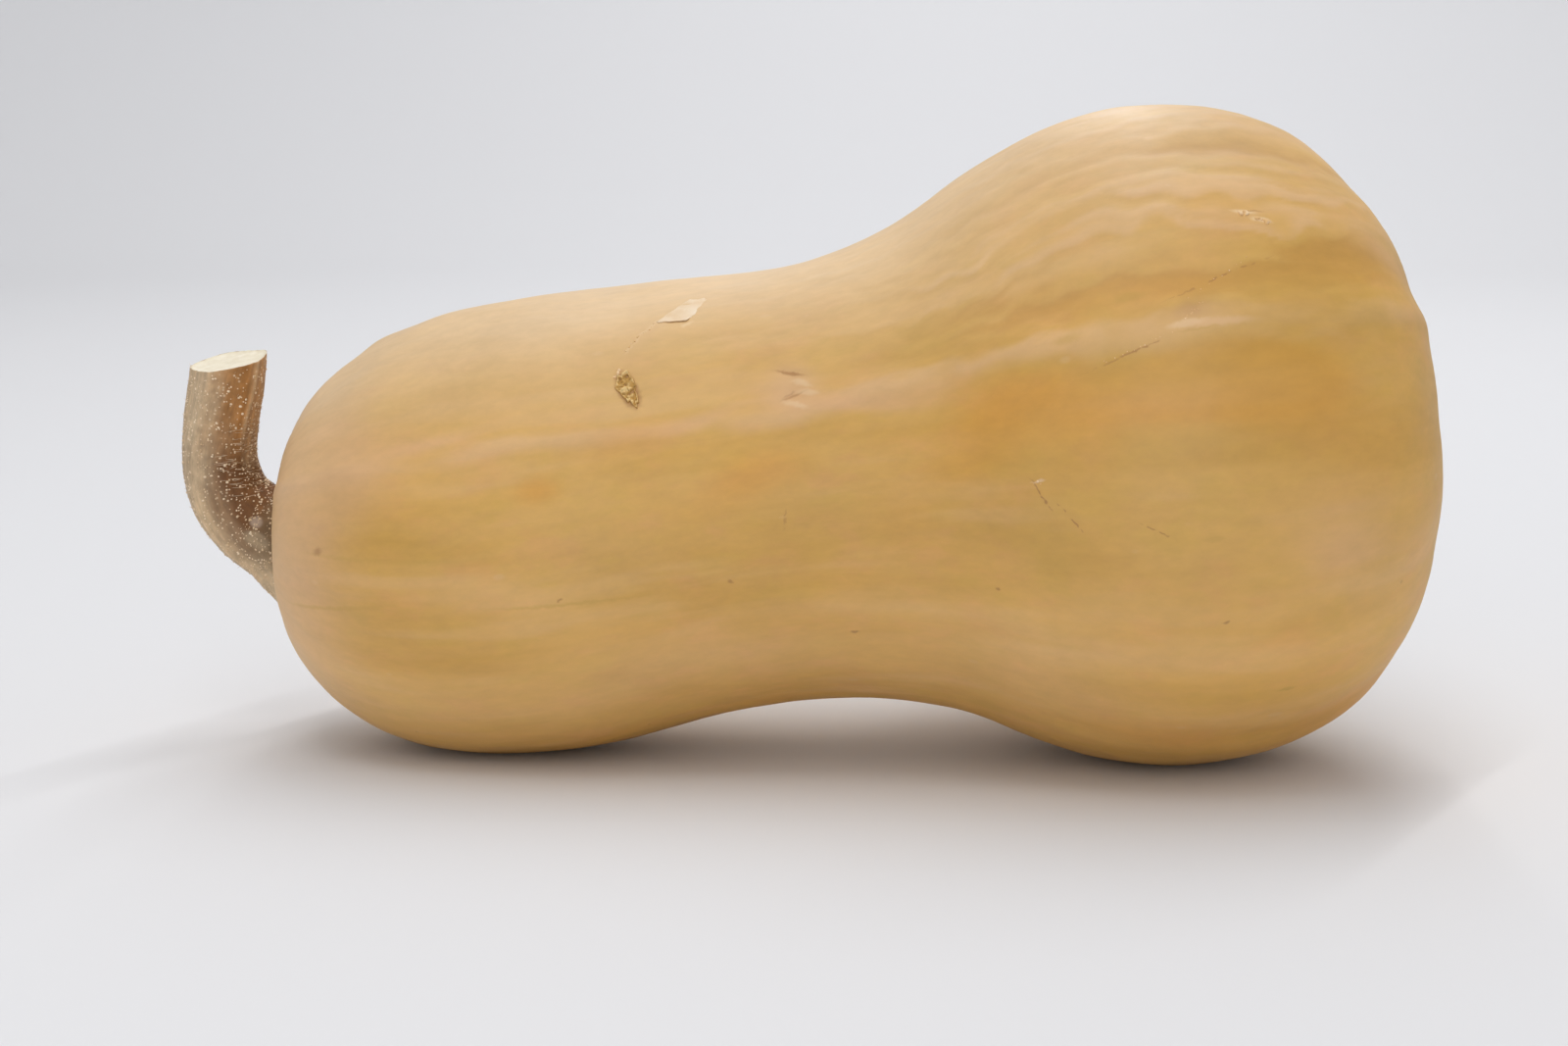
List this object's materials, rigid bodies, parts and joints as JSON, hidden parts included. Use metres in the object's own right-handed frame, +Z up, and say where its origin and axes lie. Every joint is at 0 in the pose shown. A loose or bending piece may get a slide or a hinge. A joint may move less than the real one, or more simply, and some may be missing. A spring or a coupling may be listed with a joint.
{
  "type": "butternut squash",
  "caption": "Whole butternut squash lying on its side, with a slim neck, a rounded ribbed bulb and a short dried stem.",
  "frame": {"origin": "on the surface that the squash lies on, under the middle of its bounding box", "axes": "+X from the stem towards the blossom end, +Z up, +Y to the left of +X"},
  "size_m": [0.258, 0.1352, 0.1324],
  "materials": {
    "skin": "satin",
    "stem": "matte"
  },
  "bodies": {
    "root": {"fruit": "skin", "stem": "stem"}
  },
  "joints": []
}
